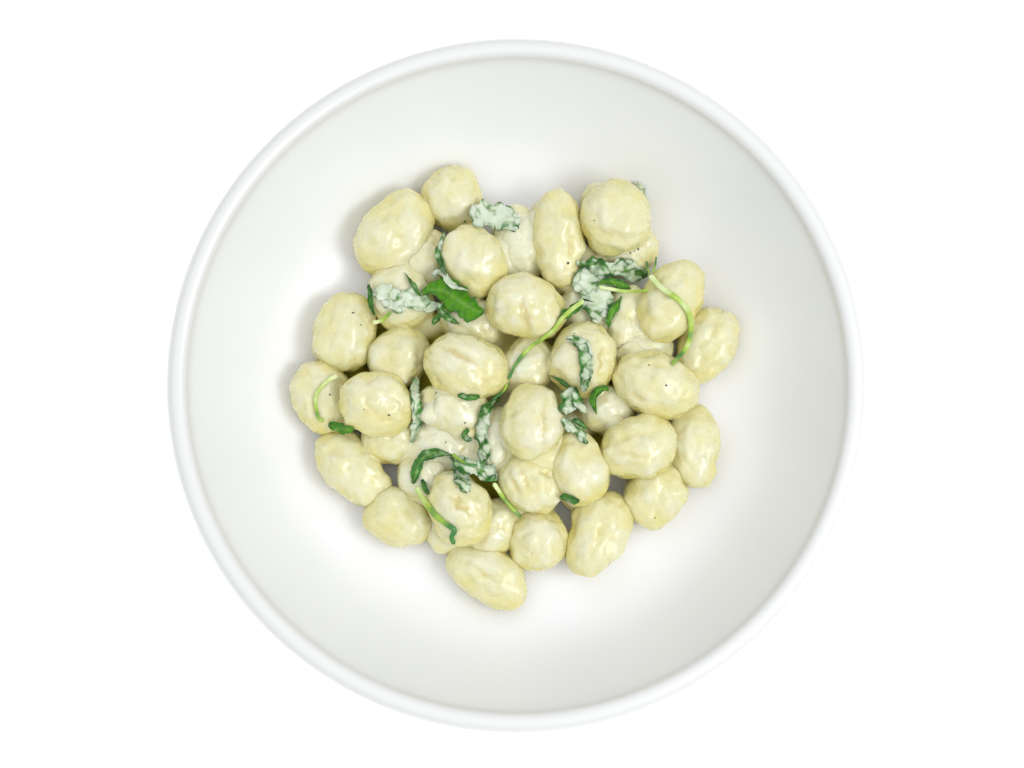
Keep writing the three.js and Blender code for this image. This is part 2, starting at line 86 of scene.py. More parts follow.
class Wire:
    """A shader socket that takes part in sums, and makes the nodes behind them."""

    # a Mix node's colour sockets: the share, the two colours, and the mixed one
    MIX_SHARE = 0
    MIX_FIRST = 6
    MIX_SECOND = 7
    MIXED = 2

    def __init__(self, tree, socket=None):
        self.tree = tree
        self.socket = socket

    def node(self, kind, settings=None, inputs=None, output=0):
        """A new node with its settings and inputs, as the wire from one of its outputs."""
        made = self.tree.nodes.new(kind)
        for key, value in (settings or {}).items():
            setattr(made, key, value)
        for key, value in (inputs or {}).items():
            if isinstance(value, Wire):
                self.tree.links.new(value.socket, made.inputs[key])
            else:
                made.inputs[key].default_value = value
        return Wire(self.tree, made.outputs[output] if made.outputs else None)

    def maths(self, operation, first, second=0):
        return self.node("ShaderNodeMath", {"operation": operation}, {0: first, 1: second})

    def __add__(self, other):
        return self.maths("ADD", self, other)

    def __radd__(self, other):
        return self.maths("ADD", other, self)

    def __sub__(self, other):
        return self.maths("SUBTRACT", self, other)

    def __rsub__(self, other):
        return self.maths("SUBTRACT", other, self)

    def __mul__(self, other):
        return self.maths("MULTIPLY", self, other)

    def __rmul__(self, other):
        return self.maths("MULTIPLY", other, self)

    def __abs__(self):
        return self.maths("ABSOLUTE", self)

    def blend(self, share, first, second):
        """Two colours mixed by a share from 0 to 1."""
        colours = {self.MIX_SHARE: share, self.MIX_FIRST: first, self.MIX_SECOND: second}
        return self.node("ShaderNodeMix", {"data_type": "RGBA"}, colours, self.MIXED)

    def step(self, value, low, high):
        """A soft step from 0 to 1 as value goes from low to high."""
        return self.node("ShaderNodeMapRange", {"interpolation_type": "SMOOTHSTEP"},
                         {"Value": value, "From Min": low, "From Max": high})

    def upward(self, coordinate):
        """How high a place on the piece is, or how far a face or direction points up."""
        place = self.node("ShaderNodeTexCoord", output=coordinate)
        return self.node("ShaderNodeSeparateXYZ", None, {"Vector": place}, "Z")

    def painted(self, mark):
        """A number that the vertices of the mesh carry."""
        return self.node("ShaderNodeAttribute", {"attribute_name": mark}, None, "Fac")

    def cloud(self, size, detail=3, roughness=0.55, offset=0):
        """Soft noise with blotches about size metres across."""
        place = self.node("ShaderNodeTexCoord", output="Object")
        moved = self.node("ShaderNodeVectorMath", {"operation": "ADD"}, {0: place, 1: (offset, 0, 0)})
        return self.node("ShaderNodeTexNoise", None,
                         {"Vector": moved, "Scale": 1 / size, "Detail": detail, "Roughness": roughness})


def new_material(name):
    """An empty material, as the wire that starts its nodes."""
    material = bpy.data.materials.new(name)
    material.use_nodes = True
    material.node_tree.nodes.clear()
    return material, Wire(material.node_tree)


def close_material(wire, shader):
    wire.node("ShaderNodeOutputMaterial", None, {"Surface": shader})


def smooth_shaded(mesh):
    for face in mesh.polygons:
        face.use_smooth = True


def as_object(name, bm, material):
    """The finished bmesh as an object at the origin."""
    mesh = bpy.data.meshes.new(name)
    bm.to_mesh(mesh)
    bm.free()
    mesh.materials.append(material)
    smooth_shaded(mesh)
    made = bpy.data.objects.new(name, mesh)
    bpy.context.collection.objects.link(made)
    return made


table_bm = bmesh.new()
bmesh.ops.create_grid(table_bm, x_segments=2, y_segments=2, size=TABLE_SIZE)
table_paint, wire = new_material("table_paint")
paint = wire.blend(wire.cloud(TABLE_BLOTCH), TABLE_PALE, TABLE_WHITE)
close_material(wire, wire.node("ShaderNodeBsdfPrincipled", None, {
    "Base Color": paint, "Roughness": 0.9, "Emission Color": TABLE_LIGHT,
    "Emission Strength": TABLE_GLOW}))
table = as_object("table", table_bm, table_paint)

room = bpy.data.worlds.new("room")
room.use_nodes = True
wire = Wire(room.node_tree)
glow = ROOM_LOW + (ROOM_OVERHEAD - ROOM_LOW) * wire.step(wire.upward("Generated"), 0, OVERHEAD)
backdrop = room.node_tree.nodes["Background"]
wire.tree.links.new(glow.socket, backdrop.inputs["Strength"])
backdrop.inputs["Color"].default_value = ROOM_WHITE
bpy.context.scene.world = room
bpy.context.scene.view_settings.view_transform = "Standard"

lamp_data = bpy.data.lights.new("lamp", "AREA")
lamp_data.shape = "RECTANGLE"
lamp_data.size = LAMP_LENGTH
lamp_data.size_y = LAMP_WIDTH
lamp_data.energy = LAMP_WATTS
lamp_data.color = LAMP_WHITE
lamp = bpy.data.objects.new("lamp", lamp_data)
lamp.location = LAMP_PLACE
lamp.rotation_euler = (-LAMP_PLACE).to_track_quat("-Z", "Y").to_euler()
bpy.context.collection.objects.link(lamp)

# ------------------------------------------------------------------ the bowl
# A round pasta bowl of glazed white porcelain, thrown in one piece: a flat floor,
# a wall that curves up to a thick rolled lip, and a foot ring underneath whose
# resting edge is left without glaze.
BOWL_RADIUS = 125 * MM
BOWL_HEIGHT = 54 * MM
FLOOR_RADIUS = 72 * MM
FLOOR_HEIGHT = 8 * MM
WALL = 4.2 * MM
LIP_RADIUS = 3.7 * MM
FOOT_OUTER = 68 * MM
FOOT_INNER = 62 * MM
FOOT_BEVEL = 0.8 * MM
FOOT_FILLET = 1 * MM
FOOT_LEAN = 0.3 * MM
FOOT_FLARE = 1.2 * MM
BOWL_STEPS = 144
WALL_STEPS = 22
LIP_STEPS = 20
BEVEL_STEPS = 4
LIP_FROM = -75
LIP_SWEEP = 250
FLOOR_RINGS = (0.8, 0.55, 0.25, 0)
# low in the bowl the glaze is painted lighter, as painted light on the floor that faces up
GLAZE_FLOOR_LIT = (0.865, 0.875, 0.92, 1)
GLAZE = (0.805, 0.820, 0.838, 1)
# at the lip the glaze is painted darker, as painted shade
GLAZE_LIP_SHADE = (0.705, 0.712, 0.70, 1)
# faces that point sideways or down are painted grey, as painted shade
GLAZE_OUTSIDE_SHADE = (0.56, 0.565, 0.575, 1)
BARE_CLAY = (0.72, 0.69, 0.63, 1)
# where one glaze colour passes into the next: from and to a height, and how far a face points up; the
# lighter floor is painted light, the darker lip and outside are painted shade
BARE_EDGE = (0.5 * MM, 0.9 * MM)
FLOOR_LIGHT_EDGE = (9 * MM, 24 * MM)
LIP_SHADE_EDGE = (49 * MM, 54 * MM)
OUTSIDE_SHADE_EDGE = (-0.25, 0.43)
GLAZE_DRIFT = 2 * MM
DRIFT_SIZE = 60 * MM

LIP_MIDDLE = BOWL_RADIUS - LIP_RADIUS
WALL_TOP = LIP_MIDDLE - LIP_RADIUS
WALL_RISE = (BOWL_HEIGHT - LIP_RADIUS - FLOOR_HEIGHT) / (WALL_TOP - FLOOR_RADIUS) ** 2


def inside_height(radius):
    """Height of the bowl's inner surface at a radius."""
    return FLOOR_HEIGHT + WALL_RISE * max(0, radius - FLOOR_RADIUS) ** 2


def bowl_profile():
    """The section of the bowl, from the middle of the underside to the middle inside."""
    underside = FLOOR_HEIGHT - WALL
    profile = [(0, underside), (FOOT_INNER * 0.5, underside), (FOOT_INNER - FOOT_FILLET, underside),
               (FOOT_INNER, underside - FOOT_FILLET)]
    for centre, start in ((FOOT_INNER + FOOT_BEVEL, 180), (FOOT_OUTER - FOOT_BEVEL, 270)):
        for i in range(BEVEL_STEPS + 1):
            angle = math.radians(start + 90 * i / BEVEL_STEPS)
            profile.append((centre + FOOT_BEVEL * math.cos(angle),
                            FOOT_BEVEL + FOOT_BEVEL * math.sin(angle)))
    profile.append((FOOT_OUTER + FOOT_LEAN, underside - FOOT_FILLET))
    profile.append((FOOT_OUTER + FOOT_FLARE, underside))
    for i in range(2, WALL_STEPS + 1):
        radius = FLOOR_RADIUS + (WALL_TOP - LIP_RADIUS / 2 - FLOOR_RADIUS) * i / WALL_STEPS
        slope = 2 * WALL_RISE * (radius - FLOOR_RADIUS)
        length = math.hypot(1, slope)
        profile.append((radius + WALL * slope / length, inside_height(radius) - WALL / length))
    for i in range(LIP_STEPS + 1):
        angle = math.radians(LIP_FROM + LIP_SWEEP * i / LIP_STEPS)
        profile.append((LIP_MIDDLE + LIP_RADIUS * math.cos(angle),
                        BOWL_HEIGHT - LIP_RADIUS + LIP_RADIUS * math.sin(angle)))
    for i in range(WALL_STEPS - 1, -1, -1):
        radius = FLOOR_RADIUS + (WALL_TOP - FLOOR_RADIUS) * i / WALL_STEPS
        profile.append((radius, inside_height(radius)))
    for share in FLOOR_RINGS:
        profile.append((FLOOR_RADIUS * share, FLOOR_HEIGHT))
    return profile


def throw_bowl():
    bm = bmesh.new()
    ring = [bm.verts.new((r, 0, z)) for r, z in bowl_profile()]
    edges = [bm.edges.new(pair) for pair in zip(ring, ring[1:])]
    bmesh.ops.spin(bm, geom=ring + edges, cent=(0, 0, 0), axis=(0, 0, 1), angle=2 * math.pi,
                   steps=BOWL_STEPS, use_merge=True)
    bmesh.ops.remove_doubles(bm, verts=bm.verts, dist=0.01 * MM)
    bmesh.ops.recalc_face_normals(bm, faces=bm.faces)
    return bm


def glaze_material():
    material, wire = new_material("porcelain_glaze")
    height = wire.upward("Object")
    bare = 1 - wire.step(height, *BARE_EDGE)
    drifted = height + wire.cloud(DRIFT_SIZE, 2) * GLAZE_DRIFT
    # painted light: the floor and the foot of the wall are lighter
    glaze = wire.blend(wire.step(drifted, *FLOOR_LIGHT_EDGE), GLAZE_FLOOR_LIT, GLAZE)
    # painted shade: the lip is darker
    glaze = wire.blend(wire.step(drifted, *LIP_SHADE_EDGE), glaze, GLAZE_LIP_SHADE)
    # painted shade: faces that point sideways or down are greyer
    glaze = wire.blend(wire.step(wire.upward("Normal"), *OUTSIDE_SHADE_EDGE), GLAZE_OUTSIDE_SHADE, glaze)
    colour = wire.blend(bare, glaze, BARE_CLAY)
    close_material(wire, wire.node("ShaderNodeBsdfPrincipled", None, {
        "Base Color": colour, "Roughness": 0.36 + bare * 0.44, "IOR": 1.5, "Coat Weight": 1 - bare,
        "Coat Roughness": 0.36}))
    return material


bowl = as_object("porcelain_bowl", throw_bowl(), glaze_material())
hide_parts("bowl")
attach(bowl, "root")

# --------------------------------------------------------------- the gnocchi
# Pillows of soft potato dough, cut from a rope, rolled off the thumb and boiled,
# so each has its own folds, finger flats and dents. They are heaped in two
# layers, and the outer ones of the top layer lie on others that don't show.
ROUNDNESS = 2.15
FLATNESS = 0.86
SWELL = 1.04
TAPER = 0.10
BEND = 0.07
FLAT_COUNT = 4
FLAT_NEAREST = 0.84
FLAT_FARTHEST = 0.97
FLAT_PRESS = 0.6
# height and size (mm) of the lumps, and of the small ones, which are on the upper side
LUMPS = [(1.5, 10), (0.85, 4.8)]
SMALL_LUMP = 0.38
SMALL_LUMP_SIZE = 2.3
# the lumps and seams wander by so much over such a distance (mm)
WARP_SEED = 5
WARP = 1.2
WARP_SIZE = 5
SEAM_DEPTH = 1.05
# how strongly a seam is painted with shade
SEAM_SHADE = 0.7
SEAM_SPACING = 7.5
SEAM_WIDTH = 0.07
FOLD_WIDTH = 0.1
FOLD_WANDER = 0.12
SEAT_GAP = 0.25 * MM
FINE = 5
COARSE = 4
DOUGH_PALE = (0.72, 0.71, 0.52, 1)
DOUGH = (0.695, 0.665, 0.395, 1)
DOUGH_YELLOW = (0.685, 0.64, 0.32, 1)
# the sides of each gnocco are painted darker and yellower, as painted shade
DOUGH_SIDE_SHADE = (0.69, 0.625, 0.225, 1)
# folds and seams are painted darker brown, as painted shade
DOUGH_FOLD_SHADE = (0.56, 0.445, 0.10, 1)
# low in the heap the dough is painted dark brown, as painted shade
DOUGH_DEEP_SHADE = (0.42, 0.35, 0.04, 1)
CREAM_FILM = (0.715, 0.73, 0.57, 1)
DOUGH_SCATTER = (0.6, 0.75, 1.0)
BLOTCH_SIZE = 11 * MM
FLECK_SIZE = 7 * MM
WET_SIZE = 5 * MM
DIMPLE_SIZE = 3.6 * MM
DIMPLE_DEPTH = 0.36 * MM
DOUGH_GRAIN = 1.5 * MM
# heights over which the painted shade of the dough fades out
DOUGH_SHADE_HEIGHTS = (6 * MM, 15 * MM)

# Each gnocco draws its chances from a number of its own, counted from its layer's first.
FIRST_BOTTOM = 100
FIRST_TOP = 130
FIRST_HIDDEN = 150
# x, y, length, width (mm), heading (degrees), lift off the bowl (mm), coat of cream
BOTTOM_LAYER = [
    (-34.1, 48.8, 22.3, 18.6, 70, 2, 0.22),
    (-17.3, 26.1, 24.4, 18.5, -20, 4, 0.36),
    (1.2, 55.5, 28.2, 19.3, -75, 2, 0.82),
    (20.6, 45.1, 20.8, 17.1, 60, 3, 0.29),
    (41.4, 54.0, 22.3, 18.6, 0, 2, 0.5),
    (25.7, 29.8, 20.8, 18.5, 20, 4, 0.58),
    (41.1, 24.6, 28.1, 17.0, 85, 5, 0.4),
    (45.6, 14.8, 22.2, 17.0, 0, 5, 0.43),
    (4.2, 9.0, 22.9, 19.2, 60, 7, 0.4),
    (-46.0, -17.7, 22.1, 18.4, 0, 2, 0.36),
    (-28.3, -19.7, 24.3, 18.4, -10, 3, 0.65),
    (-7.3, -18.0, 25.8, 16.9, 80, 6, 0.65),
    (-33.8, -31.9, 22.1, 18.4, 90, 3, 0.4),
    (-8.7, -50.2, 22.0, 18.4, 60, 1, 0.29),
    (33.7, -6.8, 20.7, 17.7, 0, 5, 0.43),
    (-72.4, -2.4, 27.0, 20.6, -80, 0, 0.15),
    (-63.4, 22.0, 30.0, 22.2, 80, 0, 0.22),
    (-60.3, -28.5, 32.4, 19.2, -45, 0, 0.24),
    (-43.3, -47.0, 26.1, 19.8, -20, 0, 0.1),
    (-10.9, -68.2, 31.5, 19.1, -30, 0, 0.1),
    (8.1, -54.8, 23.5, 21.3, 90, 1, 0.1),
    (29.8, -53.0, 32.3, 21.3, 65, 1, 0.0),
    (50.8, -38.8, 24.0, 21.6, 50, 0, 0.1),
    (64.4, -19.8, 29.5, 19.9, -80, 0, 0.0),
    (70.0, 17.1, 29.6, 20.7, 65, 0, 0.15),
    (-43.1, 12.2, 23.6, 20.7, 60, 3, 0.2),
    (-43.2, 35.4, 25.2, 22.2, -60, 2, 0.32),
    (-23.4, 72.4, 22.7, 21.6, -60, 0, 0.1),
    (-45.3, 59.1, 33.0, 24.5, 48, 1, 0.2),
]
HIDDEN_LAYER = [
    (54.5, 31.0, 24.0, 17.0, 60, 0, 0.5),
    (32.0, 66.5, 24.0, 18.0, 100, 0, 0.5),
    (13.5, 63.5, 22.0, 16.0, 80, 0, 0.5),
    (-57.5, -6.0, 22.0, 17.0, 20, 0, 0.5),
    (46.5, -23.5, 24.0, 18.0, 0, 0, 0.5),
    (23.0, -34.0, 24.0, 17.0, -60, 0, 0.5),
    (56.5, 3.0, 22.0, 17.0, -20, 0, 0.5),
    (-23.5, -50.0, 22.0, 17.0, 20, 0, 0.5),
    (4.5, -40.0, 20.0, 17.0, 0, 0, 0.5),
    (-18.5, 7.5, 24.0, 17.0, 60, 0, 0.6),
    (5.5, -12.0, 22.0, 16.0, 0, 0, 0.6),
    (2.0, 31.0, 22.0, 16.0, 70, 0, 0.6),
    (25.0, 10.5, 24.0, 16.0, -40, 0, 0.6),
    (-15.5, 46.5, 22.0, 17.0, 20, 0, 0.6),
    (-24.0, -6.0, 22.0, 16.0, 30, 0, 0.6),
    (20.0, -16.0, 22.0, 16.0, 80, 0, 0.6),
]
TOP_LAYER = [
    (-22.6, -7.6, 26.4, 20.5, -20, 8, 0.54),
    (5.6, -34.4, 24.1, 21.2, -30, 7, 0.2),
    (23.0, -28.8, 27.0, 19.7, -80, 11, 0.15),
    (-20.7, -43.8, 26.9, 21.8, -65, 10, 0.2),
    (44.2, -22.2, 27.7, 22.6, 10, 10, 0.1),
    (57.0, 32.2, 31.6, 21.3, 60, 9, 0.1),
    (15.2, 56.2, 34.7, 18.4, 95, 9, 0.1),
    (36.2, 63.6, 27.3, 25.0, 90, 8, 0.1),
    (-51.1, -6.1, 27.0, 22.6, -10, 10, 0.1),
    (3.0, 29.5, 28.6, 23.4, -15, 11, 0.1),
    (-15.4, 47.3, 27.2, 22.8, -65, 9, 0.0),
    (24.9, 10.3, 26.3, 23.4, 80, 11, 0.2),
    (-18.5, 7.5, 30.6, 22.6, -15, 13, 0.1),
    (5.5, -13.0, 27.7, 21.8, 85, 13, 0.2),
    (50.5, 0.8, 30.7, 22.6, -15, 11, 0.1),
]
# Folds pressed into the top of a gnocco, from u, v to u, v in half lengths and half
# widths, with their depth in mm. The key is the gnocco's x, y.
FOLDS = {
    (-18.5, 7.5): [(-0.66, 0.33, 0.19, 0.14, 1.3), (0.3, -0.5, 0.75, -0.15, 0.6)],
    (3.0, 29.5): [(-0.09, 0.1, 0.25, -0.8, 1.5), (-0.7, 0.1, -0.4, 0.6, 0.5)],
    (24.9, 10.3): [(0.36, -0.47, -0.43, -0.5, 1.1)],
    (-51.1, -6.1): [(-0.28, 0.6, -0.15, -0.7, 0.6)],
    (5.5, -13.0): [(0.68, -0.36, -0.68, -0.44, 0.8)],
    (-20.7, -43.8): [(-0.31, -0.19, 0.31, 0.26, 1.3)],
    (29.8, -53.0): [(-0.5, -0.11, 0.35, 0.05, 0.6)],
    (5.6, -34.4): [(0.07, 0.41, 0.82, 0.66, 1.4), (-0.83, 0.0, -0.06, -0.71, 1.0),
                   (-0.6, 0.3, 0.1, -0.4, 0.8)],
    (44.2, -22.2): [(-0.42, 0.3, 0.3, 0.45, 0.5), (-0.62, -0.06, 0.15, -0.4, 0.7)],
    (50.5, 0.8): [(-0.5, -0.5, -0.1, -0.62, 0.9), (-0.3, 0.5, 0.3, 0.55, 0.5)],
    (15.2, 56.2): [(-0.5, -0.45, 0.0, -0.5, 0.8)],
    (-10.9, -68.2): [(-0.55, 0.1, 0.35, -0.05, 0.7)],
    (36.2, 63.6): [(-0.6, -0.4, -0.5, 0.5, 0.7)],
    (-45.3, 59.1): [(-0.2, 0.5, 0.4, 0.3, 0.5)],
    (70.0, 17.1): [(-0.3, 0.2, 0.4, -0.1, 0.6)],
}
noise.seed_set(WARP_SEED)


def near_line(u, v, fold):
    """How strongly the point u, v is inside a fold, from 0 to 1."""
    u0, v0, u1, v1 = fold[:4]
    du, dv = u1 - u0, v1 - v0
    along = ((u - u0) * du + (v - v0) * dv) / (du * du + dv * dv)
    inside = max(0.0, min(1.0, along))
    gap = math.hypot(u - u0 - inside * du, v - v0 - inside * dv)
    taper = 0.45 + 0.55 * math.sin(math.pi * inside)
    return math.exp(-(gap / FOLD_WIDTH) ** 2) * taper


def clamped(value):
    return max(0, min(1, value))


def draw_flats(draw):
    """The sides on which fingers and board press: a direction each, and how far out it stays."""
    flats = []
    for _ in range(FLAT_COUNT):
        direction = Vector([draw.gauss(0, 1) for _ in range(3)]).normalized()
        flats.append((direction, draw.uniform(FLAT_NEAREST, FLAT_FARTHEST)))
    return flats


def pillow(n, flats, taper, bend):
    """Where the direction n meets a rounded pillow of half length, width and height 1."""
    p = n * (abs(n.x) ** ROUNDNESS + abs(n.y) ** ROUNDNESS + abs(n.z) ** ROUNDNESS) ** (-1 / ROUNDNESS)
    for direction, limit in flats:
        over = p.dot(direction) - limit
        if over > 0:
            p -= direction * FLAT_PRESS * over * over / (over + 0.25)
    p.y *= 1 + taper * p.x
    p.z *= 1 + taper * p.x
    p.y += bend * (1 - p.x * p.x)
    return p


def roll_gnocco(bm, row, number, subdivisions, proud=0.0):
    """Adds one gnocco to bm, stood proud of its own surface by that many mm."""
    x, y, length, width, heading, lift, coat = row
    draw = random.Random(number)
    marks = {}
    for mark in ("fold", "coat", "tone", "side"):
        marks[mark] = bm.verts.layers.float.get(mark) or bm.verts.layers.float.new(mark)
    half = Vector((length, width, FLATNESS * width)) / 2 * SWELL
    offset = Vector([draw.uniform(-50, 50) for _ in range(3)])
    taper = draw.uniform(-TAPER, TAPER)
    bend = draw.uniform(-BEND, BEND)
    flats = draw_flats(draw)
    tone = draw.uniform(0, 1)
    folds = FOLDS.get((x, y), [])
    turn = Matrix.Rotation(math.radians(heading), 3, "Z")
    reach = math.hypot(x, y) - 0.15 * width
    middle = Vector((x, y, inside_height(reach * MM) / MM + lift + half.z))
    for vert in bmesh.ops.create_icosphere(bm, subdivisions=subdivisions, radius=1)["verts"]:
        n = vert.co.normalized()
        p = pillow(n, flats, taper, bend)
        q = Vector((p.x * half.x, p.y * half.y, p.z * half.z))
        wavy = q + WARP * noise.noise_vector(q / WARP_SIZE + offset)
        lump = sum(height * noise.noise(wavy / size + offset) for height, size in LUMPS)
        lump += SMALL_LUMP * noise.noise(wavy / SMALL_LUMP_SIZE + offset) * (0.3 + 0.7 * max(0, n.z))
        wrinkled = max(0, 0.2 + noise.noise(q / 7 - offset) * 1.6)
        seam = math.exp(-(noise.noise(wavy / SEAM_SPACING - offset) / SEAM_WIDTH) ** 2) * min(1, wrinkled)
        depth = SEAM_DEPTH * seam
        mark = SEAM_SHADE * seam
        if n.z > 0:
            wander = FOLD_WANDER * noise.noise(q / 3 + offset)
            for fold in folds:
                inside = near_line(p.x + wander, p.y - wander, fold) * min(1, n.z * 3)
                depth += fold[4] * inside
                mark = max(mark, inside * min(1.2, fold[4]))
        q += n * (lump - depth + proud)
        vert.co = (turn @ q + middle) * MM
        patch = noise.noise(q / 6 + offset * 1.7) + 0.5 * noise.noise(q / 2.5 + offset)
        # fold: how strongly painted shade darkens a fold or seam
        vert[marks["fold"]] = min(1, mark)
        # side: how strongly painted shade darkens a face as it turns away from the top
        vert[marks["side"]] = clamped(1.0 - n.z * 1.15 - 0.3 * lump)
        vert[marks["coat"]] = clamped(coat + 0.4 * patch)
        vert[marks["tone"]] = tone


def seat_in_bowl(bm):
    """Nothing goes through the porcelain: what would is pressed flat on it."""
    for vert in bm.verts:
        vert.co.z = max(vert.co.z, inside_height(math.hypot(vert.co.x, vert.co.y)) + SEAT_GAP)


def gnocchi_mesh(*layers):
    """Layers of gnocchi, each with its first number and how finely it is rolled."""
    bm = bmesh.new()
    for rows, first, subdivisions in layers:
        for order, row in enumerate(rows):
            roll_gnocco(bm, row, first + order, subdivisions)
    seat_in_bowl(bm)
    return bm


def dough_material():
    material, wire = new_material("potato_dough")
    fold = wire.painted("fold")
    side = wire.painted("side")
    blotch = wire.step(wire.cloud(BLOTCH_SIZE, 2, 0.5), 0.34, 0.7)
    grain = wire.cloud(DOUGH_GRAIN, 4, 0.65, 3)
    dough = wire.blend(blotch * 0.7 + wire.painted("tone") * 0.3, DOUGH_PALE, DOUGH)
    flecked = wire.step(wire.cloud(FLECK_SIZE, 3, 0.5, 7), 0.42, 0.70) * 0.75
    dough = wire.blend(flecked, dough, DOUGH_YELLOW)
    film = wire.step(wire.painted("coat") + (grain - 0.5) * 0.15 - fold * 0.3 - side * 0.2, 0.1, 0.85)
    dough = wire.blend(film * 0.9, dough, CREAM_FILM)
    # painted shade on the sides of each gnocco
    dough = wire.blend(side * (1.0 - film * 0.3), dough, DOUGH_SIDE_SHADE)
    # painted shade in the folds and seams, where the cream film is also thinner
    dough = wire.blend(wire.step(fold, 0.1, 1.1) * (0.55 - film * 0.35), dough, DOUGH_FOLD_SHADE)
    # painted shade: the dough darkens towards the bowl
    colour = wire.blend(wire.step(wire.upward("Object"), *DOUGH_SHADE_HEIGHTS), DOUGH_DEEP_SHADE, dough)
    relief = wire.cloud(DIMPLE_SIZE, 2, 0.5, 11)
    bump = wire.node("ShaderNodeBump", None, {"Strength": 1, "Distance": DIMPLE_DEPTH, "Height": relief})
    rough = 0.27 - film * 0.04 + (grain - 0.5) * 0.15
    wet = wire.step(wire.cloud(WET_SIZE, 3, 0.6, 15), 0.38, 0.62)
    close_material(wire, wire.node("ShaderNodeBsdfPrincipled", {"subsurface_method": "RANDOM_WALK"}, {
        "Base Color": colour, "Roughness": rough, "IOR": 1.4, "Subsurface Weight": 0.8,
        "Subsurface Radius": DOUGH_SCATTER, "Subsurface Scale": 1.5 * MM,
        "Coat Weight": wet, "Coat Roughness": 0.13, "Normal": bump}))
    return material


dough_finish = dough_material()
lower_bm = gnocchi_mesh((BOTTOM_LAYER, FIRST_BOTTOM, FINE), (HIDDEN_LAYER, FIRST_HIDDEN, COARSE))
upper_bm = gnocchi_mesh((TOP_LAYER, FIRST_TOP, FINE))
resting_bm = bmesh.new()
scratch = bpy.data.meshes.new("resting")
for layer in (lower_bm, upper_bm):
    layer.to_mesh(scratch)
    resting_bm.from_mesh(scratch)
bpy.data.meshes.remove(scratch)
heap_surface = BVHTree.FromBMesh(resting_bm)
resting_bm.free()

gnocchi_lower = as_object("gnocchi_lower", lower_bm, dough_finish)
gnocchi_upper = as_object("gnocchi_upper", upper_bm, dough_finish)
for layer in (gnocchi_lower, gnocchi_upper):
    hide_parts("gnocchi_heap")
    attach(layer, "root")

# ----------------------------------------------------------------- the cream
# A light cream sauce that was tossed with the gnocchi. It fills the creases where
# they touch, lies thicker on some of them, and bridges a few of the gaps.
# Low down the sauce is painted dark brown, as painted shade; the core under the heap and the sunk sauce
# carry this painted shade into the gaps.
CREAM_GRAIN = 1.1 * MM
SMOOTH_ROUNDS = 26
SMOOTH_SHARE = 0.6
# how far (mm) it stands over a gnocco with no coat, how much more with a full one, and the
# coat from which it grows
CREAM_SUNK = -1.0
CREAM_GAIN = 1.35
COAT_FROM = 0.1
CORE_RADIUS = 42
CORE_HEIGHT = 11
CORE_FINE = 6
POOL_FINE = 3
POOL_SINK = 0.6
COAT_NEIGHBOURS = 4
COAT_REACH = 2 * MM
CREAM = (0.725, 0.725, 0.535, 1)
CREAM_THIN = (0.69, 0.65, 0.35, 1)
# low sauce is painted dark brown, as painted shade
CREAM_DEEP_SHADE = (0.36, 0.32, 0.02, 1)
CREAM_SHADE_EDGE = (15 * MM, 23 * MM)
SWIRL_SIZE = 9 * MM
RIPPLE_SIZE = 2.4 * MM
RIPPLE_DEPTH = 0.4 * MM
# x, y and radius (mm) of the spots where it bridges a gap
POOLS = [(10.3, -25.3, 4), (23.2, 26.5, 4), (43.2, 14.2, 4), (30.3, 46.5, 5), (-12, -27, 4.5),
         (-32, -10, 4), (13, 0.5, 4), (-10, 20, 4), (-30, 26, 4), (36, -13, 3.5), (-2, 44, 4),
         (-21, -27, 4.5), (-36, -24, 4)]
# x, y, radius and height (mm) of the sauce that sank between the gnocchi; it lies low, so it is painted
# dark as shade in the gaps
SUNK = [(-31.8, 25, 6, 14.5), (-49.5, 23.8, 7, 5.5), (-60, 8.2, 7, 5.5)]
DOWN = Vector((0, 0, -1))
ABOVE_ALL = 100
laid = [heap_surface]


def height_below(x, y):
    """Height in mm of what lies under the point x, y."""
    height = inside_height(math.hypot(x, y) * MM)
    for surface in laid:
        hit = surface.ray_cast(Vector((x, y, ABOVE_ALL)) * MM, DOWN)[0]
        if hit:
            height = max(height, hit.z)
    return height / MM


def pour_cream():
    """The sauce as overlapping lumps: round each gnocco, under the heap and in the gaps."""
    bm = bmesh.new()
    layers = ((BOTTOM_LAYER, FIRST_BOTTOM), (HIDDEN_LAYER, FIRST_HIDDEN), (TOP_LAYER, FIRST_TOP))
    for rows, first in layers:
        for order, row in enumerate(rows):
            proud = CREAM_SUNK + CREAM_GAIN * max(0, row[6] - COAT_FROM)
            roll_gnocco(bm, row, first + order, COARSE, proud)
    # the core lies low, so it is painted dark as shade where the deep gaps show it
    core = Matrix.Diagonal((CORE_RADIUS * MM, CORE_RADIUS * MM, CORE_HEIGHT * MM, 1))
    core.translation.z = FLOOR_HEIGHT
    bmesh.ops.create_icosphere(bm, subdivisions=CORE_FINE, radius=1, matrix=core)
    pools = [(x, y, radius, height_below(x, y) - POOL_SINK * radius) for x, y, radius in POOLS]
    for x, y, radius, height in pools + SUNK:
        place = Matrix.Translation(Vector((x, y, height)) * MM)
        bmesh.ops.create_icosphere(bm, subdivisions=POOL_FINE, radius=radius * MM, matrix=place)
    return bm


def run_together(cream):
    """The lumps melt into one skin, which smooths out."""
    remesh = cream.modifiers.new("run_together", "REMESH")
    remesh.mode = "VOXEL"
    remesh.voxel_size = CREAM_GRAIN
    settle = cream.modifiers.new("settle", "SMOOTH")
    settle.factor = SMOOTH_SHARE
    settle.iterations = SMOOTH_ROUNDS
    bpy.context.view_layer.update()
    settled = cream.evaluated_get(bpy.context.evaluated_depsgraph_get())
    cream.data = bpy.data.meshes.new_from_object(settled)
    cream.modifiers.clear()


